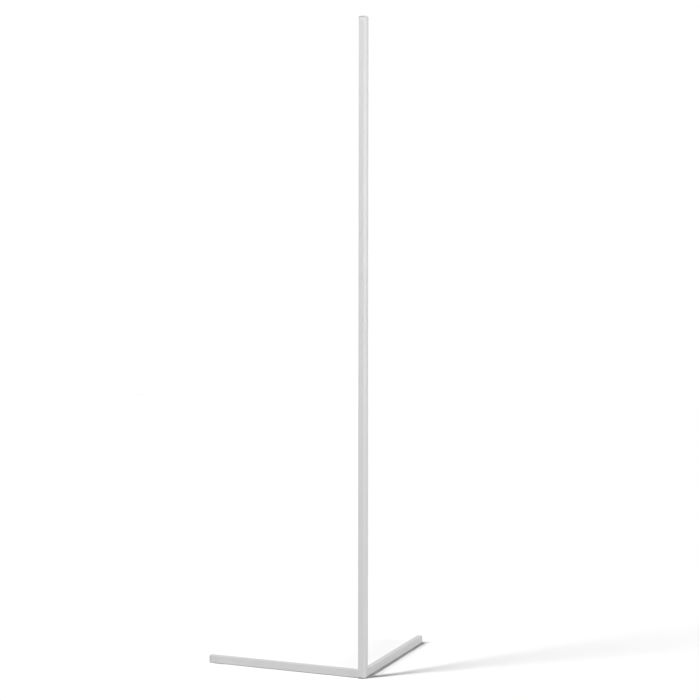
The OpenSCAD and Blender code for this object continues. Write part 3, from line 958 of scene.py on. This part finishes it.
def inlet():
    """The low-voltage inlet: a barrel with a flange, bored from the front, and its centre pin."""
    rear, front = inward_place(HOUSING_FRONT, JACK_Z), inward_place(FLANGE_FRONT, JACK_Z)
    jack = rod("inlet_barrel", FLANGE_R, rear, front)
    open_mesh(jack)
    pick_faces(jack, facing(INWARD))
    bpy.ops.mesh.inset(thickness=FLANGE_R - BORE_R)
    push_faces(-INWARD * (FLANGE_FRONT - BORE_FLOOR))
    pick_faces(jack, facing(-INWARD))
    bpy.ops.mesh.inset(thickness=FLANGE_R - JACK_R)
    push_faces(-INWARD * (HOUSING_FRONT - JACK_REAR))
    close_mesh()

    def front_ring(a, b):
        same_radius = abs((a - front).length - (b - front).length) < TOUCH
        return same_radius and both_inward(FLANGE_FRONT)(a, b)

    round_edges(jack, FLANGE_EDGE_R, front_ring, segments=3)
    finished(jack, "inlet_plastic", "dc_jack")

    pin_rear, pin_tip = inward_place(CONTACT_REAR, JACK_Z), inward_place(CONTACT_TIP, JACK_Z)
    pin = rod("inlet_centre_pin", CONTACT_R, pin_rear, pin_tip, sides=32)
    round_edges(pin, CONTACT_TIP_R, both_inward(CONTACT_TIP), segments=4)
    finished(pin, "contact_brass", "jack_pin")


inlet()

# --- Finishes of the CAD nodes that stay --------------------------------------------------------

slots = {part["node"]: part["material_slot"] for part in frame["record"]["subparts"]}
for node, shape in frame["nodes"].items():
    if not shape.hide_render:
        for index in range(len(shape.material_slots)):
            shape.material_slots[index].material = finishes[slots[node]]

# --- Floor, light and camera --------------------------------------------------------------------

FLOOR_SIZE = 30
FLOOR_GREY = 0.45  # what the floor throws back onto the lamp
FLOOR_WHITE = 0.853  # what the eye sees of it, which the lamps below bring to white
SKY_GLOW = 0.03  # what the surround gives from every side
SKY_WHITE = 1.02  # what the eye sees of the surround
WALL_GLOW = 2.8  # light from a low pale wall behind the lamp, where the room's corner would be
WALL_FADE = 4  # how fast it fades upwards


def seen_directly(nodes):
    """1 for what is seen directly, in a reflection or through glass, else 0."""
    camera_ray, glossy_ray, transmission_ray = (
        nodes.node("ShaderNodeLightPath", out=f"Is {kind} Ray")
        for kind in ("Camera", "Glossy", "Transmission")
    )
    return camera_ray.larger(glossy_ray).larger(transmission_ray)


def studio_floor():
    """A pale floor that keeps the shadow, and that the eye sees as white."""
    drop_selection()
    bpy.ops.mesh.primitive_plane_add(size=FLOOR_SIZE, location=(0, 0, 0))
    floor = settle("studio_floor")
    material = bpy.data.materials.new("studio_floor_paint")
    nodes = Nodes(material)
    shade = nodes.between(seen_directly(nodes), FLOOR_GREY, FLOOR_WHITE)
    paint = nodes.node("ShaderNodeBsdfDiffuse", {}, {"Color": shade})
    nodes.node("ShaderNodeOutputMaterial", {}, {"Surface": paint}, out=None)
    floor.data.materials.append(material)


def studio_sky():
    """A surround that the eye sees as white. It lights the lamp mostly from low down behind."""
    world = bpy.data.worlds.new("studio_surround")
    bpy.context.scene.world = world
    nodes = Nodes(world)
    direction = nodes.node("ShaderNodeTexCoord", out="Generated")
    both = {0: direction, 1: INWARD}
    behind = nodes.node("ShaderNodeVectorMath", {"operation": "DOT_PRODUCT"}, both, out="Value")
    height = nodes.node("ShaderNodeSeparateXYZ", {}, {0: direction}, out="Z")
    light = behind.larger(0) * (1 - height) ** WALL_FADE * WALL_GLOW + SKY_GLOW
    strength = light + seen_directly(nodes) * (SKY_WHITE - light)
    sky = nodes.node("ShaderNodeBackground", {}, {"Color": colour(1), "Strength": strength})
    nodes.node("ShaderNodeOutputWorld", {}, {"Surface": sky}, out=None)


def lamp_towards(kind, name, place, target, **settings):
    light = bpy.data.lights.new(name, kind)
    for key, value in settings.items():
        setattr(light, key, value)
    holder = bpy.data.objects.new(name, light)
    bpy.context.scene.collection.objects.link(holder)
    holder.location = place
    holder.rotation_euler = (Vector(target) - Vector(place)).to_track_quat("-Z", "Y").to_euler()


# Azimuths are from +X towards +Y. A share is how much of a lamp's light falls on a level floor.
KEY_FROM = math.radians(-131)
KEY_WIDTH = math.radians(17)
KEY_PARTS = ((56, 0.68), (32, 0.31))  # rise in degrees, and share, from top to bottom
FILL_FROM = math.radians(-6)
FILL_RISE = math.radians(8)
FILL_WIDTH = math.radians(16)
FILL_SHARE = 0.108
SUN_DISTANCE = 5
TOP_FROM = (1.96, -0.25, 1.7)
TOP_TARGET = (0, 0, 1.1)
TOP_WIDTH = 0.8
TOP_POWER = 0.87
TOP_SPREAD = math.radians(50)  # narrow, so that it leaves the floor alone


def soft_sun(name, azimuth, rise, share, width):
    """A far, soft lamp. Its width is measured along the horizon, whatever its rise."""
    sideways, upward = math.cos(rise), math.sin(rise)
    towards = Vector((math.cos(azimuth) * sideways, math.sin(azimuth) * sideways, upward))
    energy = share * math.pi / upward
    place = towards * SUN_DISTANCE
    lamp_towards("SUN", name, place, (0, 0, 0), energy=energy, angle=width * sideways)


studio_floor()
studio_sky()
for degrees, share in KEY_PARTS:  # together one tall soft light
    soft_sun(f"key_light_{degrees}", KEY_FROM, math.radians(degrees), share, KEY_WIDTH)
soft_sun("fill_light", FILL_FROM, FILL_RISE, FILL_SHARE, FILL_WIDTH)
lamp_towards(
    "AREA",
    "top_light",
    TOP_FROM,
    TOP_TARGET,
    energy=TOP_POWER,
    shape="DISK",
    size=TOP_WIDTH,
    spread=TOP_SPREAD,
)

CAMERA_PLACE = (1.026, -2.568, 0.6942)
CAMERA_TURN = (math.radians(90), math.radians(-0.065), math.radians(22.36))
CAMERA_LENS = 67.22  # in millimetres, like the sensor's width
CAMERA_SENSOR = 36

camera_data = bpy.data.cameras.new("camera")
camera_data.lens = CAMERA_LENS
camera_data.sensor_width = CAMERA_SENSOR
camera = bpy.data.objects.new("camera", camera_data)
bpy.context.scene.collection.objects.link(camera)
camera.location = CAMERA_PLACE
camera.rotation_euler = CAMERA_TURN
bpy.context.scene.camera = camera
bpy.context.scene.view_settings.view_transform = "Standard"
